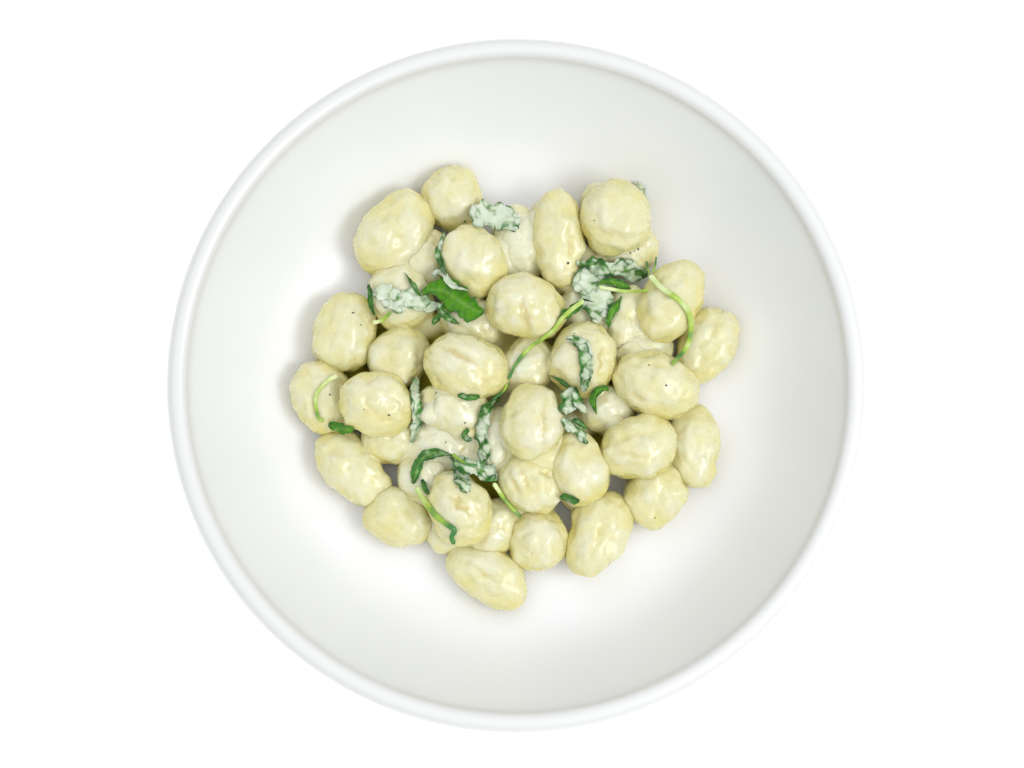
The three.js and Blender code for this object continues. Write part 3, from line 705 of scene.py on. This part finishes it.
def mark_coats(bm):
    """Each spot of the sauce is as thick as on the gnocchi nearest to it."""
    rows = BOTTOM_LAYER + HIDDEN_LAYER + TOP_LAYER
    nearest = KDTree(len(rows))
    for order, row in enumerate(rows):
        nearest.insert(Vector((row[0], row[1], 0)) * MM, order)
    nearest.balance()
    coat = bm.verts.layers.float.new("coat")
    for vert in bm.verts:
        share = 0
        total = 0
        for _, order, gap in nearest.find_n(Vector((vert.co.x, vert.co.y, 0)), COAT_NEIGHBOURS):
            pull = 1 / (gap + COAT_REACH) ** 2
            share += rows[order][6] * pull
            total += pull
        vert[coat] = share / total


def cream_material():
    material, wire = new_material("cream_sauce")
    swirl = wire.step(wire.cloud(SWIRL_SIZE, 4, 0.55, 5), 0.35, 0.7)
    thick = wire.step(wire.painted("coat") + (swirl - 0.5) * 0.3, 0.1, 0.7)
    # painted shade: the sauce turns dark brown low in the heap
    lit = wire.step(wire.upward("Object"), *CREAM_SHADE_EDGE)
    colour = wire.blend(lit, CREAM_DEEP_SHADE, wire.blend(thick, CREAM_THIN, CREAM))
    relief = wire.cloud(RIPPLE_SIZE, 3, 0.5, 2)
    bump = wire.node("ShaderNodeBump", None,
                     {"Strength": 0.22, "Distance": RIPPLE_DEPTH, "Height": relief})
    close_material(wire, wire.node("ShaderNodeBsdfPrincipled", None, {
        "Base Color": colour, "Roughness": 0.28 + swirl * 0.08 + (1 - lit) * 0.4, "IOR": 1.4,
        "Coat Weight": lit * 0.3, "Coat Roughness": 0.2, "Normal": bump}))
    return material


cream = as_object("cream", pour_cream(), cream_material())
run_together(cream)
cream_bm = bmesh.new()
cream_bm.from_mesh(cream.data)
mark_coats(cream_bm)
seat_in_bowl(cream_bm)
cream_bm.to_mesh(cream.data)
cream_bm.free()
smooth_shaded(cream.data)
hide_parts("gnocchi_heap")
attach(cream, "root")

# ---------------------------------------------------------- the rocket leaves
# Torn leaves of rocket, wilted by the hot sauce. Each is a thin lobed blade with
# a midrib and ruffled margins, and lies on the gnocchi wherever it can.
LEAF_THICKNESS = 0.4
LEAF_GAP = 0.1
LEAF_GRAIN = 0.55
LEAF_CELLS = 10
LEAF_STEPS_LEAST = 12
LEAF_SAG = 0.02
LEAF_DRAW = 200
DROOP = 0.3
STEEPEST = 0.6
TAUT_ROUNDS = 120
BALL_REACH = 0.85
BALL_SIDES = 8
ROUTE_FINE = 20
LOBE_DEPTH = 0.4
LOBE_SHARPNESS = 1.5
RAGGED_SIZE = 2.6
TOOTH_SIZE = 1.1
BROAD_WIDTH = 5
RUFFLE_SIZE = 2.4
WRINKLE_SIZE = 1.2
WAVE_SIZE = 2.6
RIB_GROOVE = 0.22
RIB_GROOVE_WIDTH = 0.14
RIB_WIDTH = 0.15
VEIN_SPACING = 2.2
VEIN_SLANT = 0.9
VEIN_WIDTH = 0.12
LEAF_BRIGHT = (0.065, 0.24, 0.001, 1)
LEAF_GREEN = (0.05, 0.21, 0.026, 1)
LEAF_DARK = (0.016, 0.085, 0.018, 1)
RIB_GREEN = (0.34, 0.50, 0.14, 1)
LEAF_CREAM = (0.69, 0.745, 0.62, 1)
LEAF_MILKY = (0.58, 0.67, 0.47, 1)
LEAF_CELL_SIZE = 0.9 * MM
SHADE_SIZE = 3.5 * MM
# spacing of the lines of painted shade across the leaves
CREASE_SHADE_SPACING = 5.5 * MM
MILK_SIZE = 5 * MM
BLISTER_SIZE = 2 * MM
BLISTER_DEPTH = 0.4 * MM
# name: widest width (mm), how far along that is, lobes, brightness, cream (a leaf under nought
# is nearly bare), and the midrib's route in plan (mm)
LEAVES = {
    "leaf_upper_left": (8, 0.35, 2, 0.35, 1.05,
                        [(-52.5, 35.5), (-48.5, 34), (-44, 32.5), (-40, 32.5), (-35.5, 31.5), (-30.5, 31),
                         (-27.5, 31)]),
    "leaf_bright": (9.5, 0.62, 1, 0.95, -0.4,
                    [(-34.5, 34.5), (-30.5, 36), (-26.5, 35.5), (-22.5, 33), (-18.5, 30.3), (-15, 28.5),
                     (-12, 27.7)]),
    "leaf_edge_left": (1.6, 0.5, 1, 0.1, 0.05,
                       [(-54.5, 38.5), (-54, 34.5), (-53.5, 30.5), (-52.5, 27.5)]),
    "leaf_thread": (1.6, 0.6, 1, 0.4, 0.1, [(-40.5, 41.5), (-38.5, 38.5), (-36.5, 35.5), (-34.5, 33.5)]),
    "leaf_tucked": (2.2, 0.4, 1, 0.35, 0.85,
                    [(-31, 40.5), (-29, 42.5), (-26.5, 41), (-24.5, 38), (-21, 36), (-18, 35)]),
    "leaf_left_scrap": (2.4, 0.4, 1, 0.5, 0.35, [(-28.5, 31.5), (-27.5, 28), (-25, 26), (-21, 23.5)]),
    "leaf_left_fork": (2, 0.5, 1, 0.35, 0.2, [(-28.5, 27.5), (-29, 26), (-30.5, 23.5)]),
    "leaf_strip_upper": (2, 0.5, 1, 0.3, 0.3,
                         [(-26.5, 58), (-28, 53.5), (-29, 49.5), (-27.5, 45), (-26, 41)]),
    "leaf_top": (10.5, 0.5, 1, 0.35, 1.05,
                 [(-15.5, 59.5), (-12.5, 63), (-9, 64.5), (-5, 64.2), (-2, 62), (0, 58.5)]),
    "leaf_right": (13, 0.4, 1, 0.4, 0.95,
                   [(20.5, 39.5), (25, 38.5), (28.5, 35), (30, 29.7), (28.5, 23.5)]),
    "leaf_right_upper": (6.5, 0.6, 2, 0.35, 0.5,
                         [(22, 46), (28.5, 45.5), (35, 44.5), (42, 44), (48.5, 43)]),
    "leaf_right_band": (3.2, 0.65, 1, 0.8, -0.15, [(29, 38.5), (33.5, 39.5), (38, 39), (42, 37)]),
    "leaf_strip_right": (2.6, 0.6, 1, 0.75, -0.15,
                         [(38.5, 34), (37, 31.5), (35.5, 28.5), (34, 25.5), (33.5, 22.5)]),
    "leaf_stem_base": (3.4, 0.45, 1, 0.7, 0, [(24.5, 32), (21.5, 29.5), (18.5, 26.5), (15.5, 24)]),
    "leaf_centre": (4.8, 0.5, 1, 0.35, 0.7,
                    [(18, 17), (21.5, 16), (24, 13), (25, 9.5), (25.5, 5), (25, 1), (24.5, -2.5)]),
    "leaf_centre_left": (1.6, 0.6, 1, 0.15, 0.1, [(12.5, 4), (15.5, 2), (18.5, 0), (21, -2.5)]),
    "leaf_lobed": (6.2, 0.5, 2, 0.5, 0.65, [(20.5, -0.5), (19.5, -3.5), (18.5, -7), (18, -10.5)]),
    "leaf_lobed_limb": (3, 0.5, 1, 0.3, 0.75, [(20, -2.5), (22, -5.5), (24, -8), (25.5, -9.5)]),
    "leaf_strip_lobed": (3.2, 0.4, 2, 0.55, 0.6,
                         [(16.5, -12.5), (19, -14.5), (22, -16.5), (24, -19), (25.5, -21)]),
    "leaf_strip_fork": (2.2, 0.5, 1, 0.4, 0.1, [(19.5, -13), (22.5, -13.5), (25.5, -15.5)]),
    "leaf_scrap_right": (2.5, 0.4, 1, 0.9, -0.3,
                         [(33.5, -1), (31.5, -0.5), (29, -2), (28, -5), (29, -9.5)]),
    "leaf_left_tip": (3.4, 0.5, 1, 0.75, -0.2, [(-69, -13), (-66, -14), (-63, -15), (-59.5, -15.5)]),
    "leaf_strip_left": (3.6, 0.4, 1, 0.3, 0.85,
                        [(-36, 4), (-37.5, -0.5), (-36.5, -6), (-36, -10.5), (-37, -15), (-38.5, -19.5)]),
    "leaf_strip_middle": (1.8, 0.5, 1, 0.5, 0.2, [(-21.5, -4), (-17.5, -4.5), (-13.5, -4)]),
    "leaf_curl": (1.8, 0.5, 1, 0.45, 0.4, [(-17.5, -15.5), (-19, -17), (-18.5, -18.5), (-16.5, -19)]),
    "leaf_middle": (4.6, 0.6, 3, 0.4, 0.6,
                    [(-6.5, -3), (-9, -5.5), (-11, -9), (-12.5, -12.5), (-12.5, -16.5), (-12, -21),
                     (-12, -25.5), (-10.5, -29)]),
    "leaf_lower": (3.6, 0.4, 1, 0.45, 0.15,
                   [(-38, -35), (-36.5, -31.5), (-35.5, -27.5), (-33, -24.5), (-28.5, -23.5),
                    (-23.5, -24.5)]),
    "leaf_lower_branch": (1.6, 0.6, 1, 0.25, 0.05, [(-34.5, -33.5), (-33.5, -36.5), (-32, -39)]),
    "leaf_lobe_lower": (5.2, 0.6, 1, 0.3, 0.75, [(-23.5, -28), (-20.5, -32), (-18.5, -36), (-17.5, -39)]),
    "leaf_lobe_middle": (7.2, 0.6, 2, 0.3, 0.8,
                         [(-24, -25.5), (-20, -28), (-15.5, -30), (-11.5, -31), (-8, -28.5)]),
    "leaf_scrap_front": (2.4, 0.5, 1, 0.2, 0, [(15.5, -40.5), (19, -41), (22.5, -42)]),
    "leaf_tip_top": (3, 0.5, 1, 0.6, 1.3, [(43.5, 79), (46.5, 76), (49, 71.5)]),
}


def resting_height(x, y, ball):
    """Height of the middle of a ball that rests on what lies under x, y."""
    reach = BALL_REACH * ball
    rise = math.sqrt(ball ** 2 - reach ** 2)
    height = height_below(x, y) + ball
    for i in range(BALL_SIDES):
        angle = 2 * math.pi * i / BALL_SIDES
        under = height_below(x + reach * math.cos(angle), y + reach * math.sin(angle))
        height = max(height, under + rise)
    return height


def drawn_taut(resting, sag, along_step, across_step):
    """A grid of heights that rests on what is below, bridges dips and droops at its free ends."""
    heights = [list(column) for column in resting]
    last = len(resting[0]) - 1
    for _ in range(TAUT_ROUNDS):
        for j, column in enumerate(heights):
            for i in range(last + 1):
                if 0 < i < last:
                    taut = (column[i - 1] + column[i + 1]) / 2 - sag
                else:
                    taut = column[1 if i == 0 else last - 1] - DROOP * along_step
                left = heights[j - 1][i] - STEEPEST * across_step if j else 0
                right = heights[j + 1][i] - STEEPEST * across_step if j < len(heights) - 1 else 0
                column[i] = max(resting[j][i], taut, left, right)
    return heights


def along_route(route, steps):
    """Even points on a smooth curve through the route, each with its direction."""
    ends = [2 * Vector(route[0]) - Vector(route[1])] + [Vector(p) for p in route]
    ends.append(2 * Vector(route[-1]) - Vector(route[-2]))
    fine = []
    for i in range(1, len(ends) - 2):
        a, b, c, d = ends[i - 1:i + 3]
        for k in range(ROUTE_FINE):
            t = k / ROUTE_FINE
            fine.append(0.5 * (2 * b + (c - a) * t + (2 * a - 5 * b + 4 * c - d) * t * t
                               + (3 * b - a - 3 * c + d) * t ** 3))
    fine.append(Vector(route[-1]))
    lengths = [0]
    for a, b in zip(fine, fine[1:]):
        lengths.append(lengths[-1] + (b - a).length)
    points = []
    k = 0
    for i in range(steps + 1):
        wanted = lengths[-1] * i / steps
        while k < len(lengths) - 2 and lengths[k + 1] < wanted:
            k += 1
        share = (wanted - lengths[k]) / (lengths[k + 1] - lengths[k])
        points.append((fine[k].lerp(fine[k + 1], share), (fine[k + 1] - fine[k]).normalized()))
    return points, lengths[-1]


def route_steps(route, grain, least=1):
    """A route in steps of about a grain: how many they are, its length, and its points."""
    length = along_route(route, 4)[1]
    steps = max(least, round(length / grain))
    return steps, length, along_route(route, steps)[0]


def leaf_width(t, side, length, widest, lobes, shift):
    """How wide one side of a leaf is at t of its length, against its widest width."""
    stretch = math.log(0.5) / math.log(widest)
    outline = min(1, 1.5 * math.sin(math.pi * (0.05 + 0.91 * t ** stretch)))
    notch = 0.5 + 0.5 * math.cos(2 * math.pi * lobes * t + 1.1 * side)
    lobe = 1 - LOBE_DEPTH * notch ** LOBE_SHARPNESS
    ragged = 1.1 + 0.5 * noise.noise(Vector((length * t / RAGGED_SIZE, 3 * side, shift)))
    ragged += 0.25 * noise.noise(Vector((length * t / TOOTH_SIZE, 5 * side, shift)))
    return outline * lobe * ragged


def tear_leaf(name, order):
    width, widest, lobes, brightness, creaminess, route = LEAVES[name]
    shift = random.Random(LEAF_DRAW + order).uniform(0, 50)
    steps, length, points = route_steps(route, LEAF_GRAIN, LEAF_STEPS_LEAST)
    plan = []
    for j in range(LEAF_CELLS + 1):
        across = 2 * j / LEAF_CELLS - 1
        side = 1 if across > 0 else -1
        column = []
        for i, (middle, along) in enumerate(points):
            half = across * leaf_width(i / steps, side, length, widest, lobes, shift) * width / 2
            column.append((middle.x - along.y * half, middle.y + along.x * half))
        plan.append(column)
    ball = LEAF_THICKNESS / 2 + LEAF_GAP
    resting = [[resting_height(x, y, ball) for x, y in column] for column in plan]
    heights = drawn_taut(resting, LEAF_SAG, length / steps, width / LEAF_CELLS)
    broad = min(1, width / BROAD_WIDTH)
    bm = bmesh.new()
    marks = {mark: bm.verts.layers.float.new(mark) for mark in ("coat", "rib", "tone", "edge")}
    bmesh.ops.create_grid(bm, x_segments=steps, y_segments=LEAF_CELLS, size=1)
    for vert in bm.verts:
        i = round((vert.co.x + 1) / 2 * steps)
        j = round((vert.co.y + 1) / 2 * LEAF_CELLS)
        across = 2 * j / LEAF_CELLS - 1
        x, y = plan[j][i]
        spot = Vector((x, y, shift))
        ruffle = across ** 2 * max(0, 0.7 + 1.6 * noise.noise(spot / RUFFLE_SIZE)) * broad
        crinkle = 0.3 * (1 + noise.noise(spot / WRINKLE_SIZE))
        crinkle += 0.6 * (1 + noise.noise(spot / WAVE_SIZE)) * broad
        groove = RIB_GROOVE * math.exp(-(across / RIB_GROOVE_WIDTH) ** 2)
        vert.co = Vector((x, y, heights[j][i] + ruffle + crinkle + groove)) * MM
        patch = noise.noise(spot / 3.6) + 0.6 * noise.noise(spot / 1.5)
        to_vein = abs((i / steps * length / VEIN_SPACING - abs(across) * VEIN_SLANT) % 1 - 0.5)
        bare_margin = abs(across) ** 4 * max(0, 0.35 + 1.2 * noise.noise(spot / 4))
        rib = math.exp(-(across / RIB_WIDTH) ** 2)
        vert[marks["rib"]] = rib + 0.4 * math.exp(-(to_vein / VEIN_WIDTH) ** 2)
        vert[marks["coat"]] = clamped(creaminess + 0.7 * patch - bare_margin)
        vert[marks["tone"]] = clamped(brightness + 0.45 * patch)
        vert[marks["edge"]] = abs(across) ** 3
    bmesh.ops.recalc_face_normals(bm, faces=bm.faces)
    bmesh.ops.solidify(bm, geom=bm.faces, thickness=LEAF_THICKNESS * MM)
    bmesh.ops.recalc_face_normals(bm, faces=bm.faces)
    return bm


def leaf_material():
    material, wire = new_material("rocket_leaf")
    rib = wire.painted("rib")
    cells = wire.cloud(LEAF_CELL_SIZE, 4, 0.65, 1)
    shade = wire.step(wire.cloud(SHADE_SIZE, 3, 0.6, 4), 0.35, 0.7)
    ridge = abs(wire.cloud(CREASE_SHADE_SPACING, 1, 0.5, 12) - 0.5)
    # painted shade in thin lines across the leaf: the green is darker there and bare of cream
    crease_shade = 1 - wire.step(ridge, 0.0, 0.075)
    green = wire.blend(shade, LEAF_DARK, LEAF_GREEN)
    tone = wire.painted("tone") - wire.painted("edge") * 0.3 + (cells - 0.5) * 0.3
    bright = wire.step(tone, 0.2, 0.95) * (1 - crease_shade * 0.5)
    green = wire.blend(bright, green, LEAF_BRIGHT)
    green = wire.blend(rib * 0.25, green, RIB_GREEN)
    film = wire.step(wire.painted("coat") + (cells - 0.5) * 0.4 - crease_shade * 0.5, 0.0, 0.95)
    milky = wire.step(wire.cloud(MILK_SIZE, 2, 0.5, 14), 0.35, 0.65)
    colour = wire.blend(film * 0.9, green, wire.blend(milky, LEAF_MILKY, LEAF_CREAM))
    relief = cells * 0.4 + wire.cloud(BLISTER_SIZE, 3, 0.5, 8) + rib * 0.4
    bump = wire.node("ShaderNodeBump", None,
                     {"Strength": 0.6, "Distance": BLISTER_DEPTH, "Height": relief})
    close_material(wire, wire.node("ShaderNodeBsdfPrincipled", None, {
        "Base Color": colour, "Roughness": 0.42 - film * 0.15, "IOR": 1.3, "Coat Weight": film * 0.3,
        "Coat Roughness": 0.15, "Normal": bump}))
    return material


leaf_finish = leaf_material()
for order, name in enumerate(LEAVES):
    leaf_bm = tear_leaf(name, order)
    laid.append(BVHTree.FromBMesh(leaf_bm))
    leaf = as_object("rocket_" + name, leaf_bm, leaf_finish)
    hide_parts(name)
    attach(leaf, "root")

# ----------------------------------------------------------- the rocket stems
# Thin juicy stalks of the same leaves, pale green, bent over the gnocchi. Each is
# a round stalk that tapers to its tip, with a shallow groove along the top.
STEM_GAP = 0.05
STEM_GRAIN = 0.5
STEM_SIDES = 12
STEM_SAG = 0.003
STEM_DRAW = 300
STEM_TAPER = 0.3
STEM_GROOVE = 0.28
STEM_GROOVE_WIDTH = 0.5
STREAK_SIZE = 1.4 * MM
STREAK_DEPTH = 0.3 * MM
STEM_SCATTER = (0.6, 1.0, 0.3)
STEM_PALE = (0.68, 0.77, 0.40, 1)
STEM_GREEN = (0.35, 0.51, 0.05, 1)
STEM_DARK = (0.04, 0.20, 0.03, 1)
# name: thickness (mm), brightness, and the route in plan (mm)
STEMS = {
    "stem_right": (2.1, 0.62,
                   [(48.5, 41), (52, 36.5), (55.5, 33.5), (59.5, 30.5), (62, 28), (63.5, 24.5),
                    (63.5, 20.5), (62.5, 16), (60, 12), (56, 7.5)]),
    "stem_centre": (1.6, 0.5,
                    [(24.5, 31.5), (20, 28), (16, 24), (13.5, 20.5), (9.5, 17.5), (5.5, 15), (2, 11.5),
                     (-1, 7), (-3, 2.5)]),
    "stem_right_short": (1.4, 0.75, [(30, 37.5), (35, 36.5), (41, 35.5), (48, 35.5)]),
    "stem_upper_left": (1.6, 0.6, [(-53, 24.5), (-50, 25), (-47.5, 26.5), (-46, 28)]),
    "stem_left": (1.5, 0.7,
                  [(-65.5, 5), (-69, 3), (-72, 0), (-73.5, -3), (-73.5, -6.5), (-72.5, -10.5),
                   (-70.5, -12)]),
    "stem_middle": (1, 0.1, [(-3.5, 1), (-4.5, -1), (-6, -2.5), (-9, -4.5)]),
    "stem_lower": (1.2, 0.15, [(-23.5, -24.5), (-21, -26.5), (-18, -28.5), (-14, -29)]),
    "stem_lower_left": (2.3, 0.3,
                        [(-36.5, -36), (-34.5, -40), (-31.5, -44.5), (-29, -47.5), (-26, -50),
                         (-22.5, -52.5), (-23.5, -55), (-22.5, -57.5)]),
    "stem_lower_right": (1.6, 0.5, [(-8.5, -35), (-6, -38.5), (-3.5, -42), (-1, -44.5), (1.5, -47)]),
    "stem_tuft_left": (0.8, 0.25, [(49, 42.5), (48.5, 45), (48, 48)]),
    "stem_tuft_right": (0.8, 0.4, [(50, 42.5), (51, 46), (51.5, 49.5)]),
}


def cut_stem(name, order):
    thickness, brightness, route = STEMS[name]
    shift = random.Random(STEM_DRAW + order).uniform(0, 10)
    steps, length, points = route_steps(route, STEM_GRAIN)
    ball = thickness / 2 + STEM_GAP
    resting = [resting_height(middle.x, middle.y, ball) for middle, _ in points]
    heights = drawn_taut([resting], STEM_SAG, length / steps, 0)[0]
    path = [Vector((middle.x, middle.y, height)) for (middle, _), height in zip(points, heights)]
    bm = bmesh.new()
    tone_layer = bm.verts.layers.float.new("tone")
    bmesh.ops.create_grid(bm, x_segments=steps, y_segments=STEM_SIDES, size=1)
    for vert in bm.verts:
        i = round((vert.co.x + 1) / 2 * steps)
        j = round((vert.co.y + 1) / 2 * STEM_SIDES) % STEM_SIDES
        forward = (path[min(i + 1, steps)] - path[max(i - 1, 0)]).normalized()
        side = forward.cross(Vector((0, 0, 1))).normalized()
        up = side.cross(forward)
        angle = 2 * math.pi * j / STEM_SIDES
        t = i / steps
        swell = 1.1 - STEM_TAPER * t + 0.25 * noise.noise(Vector((5 * t, shift, 0)))
        groove = 1 - STEM_GROOVE * math.exp(-((angle - math.pi / 2) / STEM_GROOVE_WIDTH) ** 2)
        to_end = min(1, min(i, steps - i) * STEM_GRAIN / (thickness / 2))
        rounded = max(0.2, math.sqrt(1 - (1 - to_end) ** 2))
        radius = thickness / 2 * swell * groove * rounded
        vert.co = (path[i] + radius * (math.cos(angle) * side + math.sin(angle) * up)) * MM
        streaky = noise.noise(Vector((length * t / 5, shift, 3)))
        vert[tone_layer] = clamped(brightness + 0.3 * (1 - 2 * t) + 0.5 * streaky)
    bmesh.ops.remove_doubles(bm, verts=bm.verts, dist=0.01 * MM)
    bmesh.ops.holes_fill(bm, edges=bm.edges, sides=STEM_SIDES)
    bmesh.ops.recalc_face_normals(bm, faces=bm.faces)
    return bm


def stem_material():
    material, wire = new_material("rocket_stem")
    streak = wire.cloud(STREAK_SIZE, 3, 0.6, 6)
    tone = wire.painted("tone") + (streak - 0.5) * 0.4
    green = wire.blend(wire.step(tone, 0.1, 0.55), STEM_DARK, STEM_GREEN)
    colour = wire.blend(wire.step(tone, 0.5, 1), green, STEM_PALE)
    bump = wire.node("ShaderNodeBump", None,
                     {"Strength": 0.3, "Distance": STREAK_DEPTH, "Height": streak})
    close_material(wire, wire.node("ShaderNodeBsdfPrincipled", {"subsurface_method": "RANDOM_WALK"}, {
        "Base Color": colour, "Roughness": 0.3 + streak * 0.1, "IOR": 1.4, "Subsurface Weight": 0.2,
        "Subsurface Radius": STEM_SCATTER, "Subsurface Scale": 1 * MM,
        "Coat Weight": 0.4, "Coat Roughness": 0.12, "Normal": bump}))
    return material


stem_finish = stem_material()
for order, name in enumerate(STEMS):
    stem_bm = cut_stem(name, order)
    laid.append(BVHTree.FromBMesh(stem_bm))
    stem = as_object("rocket_" + name, stem_bm, stem_finish)
    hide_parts(name)
    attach(stem, "root")

# ------------------------------------------------------- the herb and pepper
# Specks of chopped herb and ground pepper from the sauce, stuck to the gnocchi.
# Each is a tiny crumpled flake, half sunk in the cream.
SPECK_COUNT = 22
SPECK_SEED = 7
SPECK_REACH = 74
SPECK_THICKNESS = 0.4
SPECK_PATCH = 3 * MM
STEEPEST_PERCH = 0.4
SPECK_DARK = (0.018, 0.022, 0.012, 1)
SPECK_GREEN = (0.05, 0.11, 0.03, 1)
# x, y and size (mm) of the larger ones
SPECKS = [(-60.1, 28.0, 0.4), (-57.2, 23.6, 0.3), (-68.4, -2.1, 0.45), (-46.3, -10.8, 0.4),
          (-29.4, -2.2, 0.35), (-25.9, -19.8, 0.35), (-18.8, -13.3, 0.4), (41.8, 50.5, 0.5),
          (44.8, 51.9, 0.5), (47.9, 7.3, 0.4), (54.0, -0.4, 0.4), (50.4, -47.2, 0.4),
          (-6.2, 59.2, 0.4), (-0.6, 60.8, 0.5), (-24.5, 57.4, 0.55), (-19.2, 62.9, 0.55),
          (18.8, 45.8, 0.5), (43.4, 51.1, 0.3)]


def scatter_specks():
    bm = bmesh.new()
    draw = random.Random(SPECK_SEED)
    spots = list(SPECKS)
    for _ in range(SPECK_COUNT):
        reach = SPECK_REACH * math.sqrt(draw.random())
        bearing = draw.uniform(0, 2 * math.pi)
        spots.append((reach * math.cos(bearing), reach * math.sin(bearing), draw.uniform(0.15, 0.3)))
    for x, y, size in spots:
        place, normal = heap_surface.ray_cast(Vector((x, y, ABOVE_ALL)) * MM, DOWN)[:2]
        if place is None or normal.z < STEEPEST_PERCH:
            continue
        verts = bmesh.ops.create_icosphere(bm, subdivisions=2, radius=1)["verts"]
        tilt = normal.to_track_quat("Z", "Y").to_matrix()
        stretch = Vector((draw.uniform(0.7, 1.6), draw.uniform(0.5, 1.0), SPECK_THICKNESS)) * size
        for vert in verts:
            rough = 1 + 0.5 * noise.noise(vert.co * 1.3 + place / MM)
            flat = Vector((vert.co.x * stretch.x, vert.co.y * stretch.y, vert.co.z * stretch.z))
            vert.co = tilt @ (flat * rough * MM) + place
    return bm


def speck_material():
    material, wire = new_material("herb_and_pepper")
    herb = wire.step(wire.cloud(SPECK_PATCH, 2, 0.5, 9), 0.45, 0.55)
    colour = wire.blend(herb, SPECK_DARK, SPECK_GREEN)
    close_material(wire, wire.node("ShaderNodeBsdfPrincipled", None, {
        "Base Color": colour, "Roughness": 0.45, "Coat Weight": 0.3}))
    return material


specks = as_object("herb_specks", scatter_specks(), speck_material())
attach(specks, "root")

# -------------------------------------------------------------------- the end
bpy.context.view_layer.update()
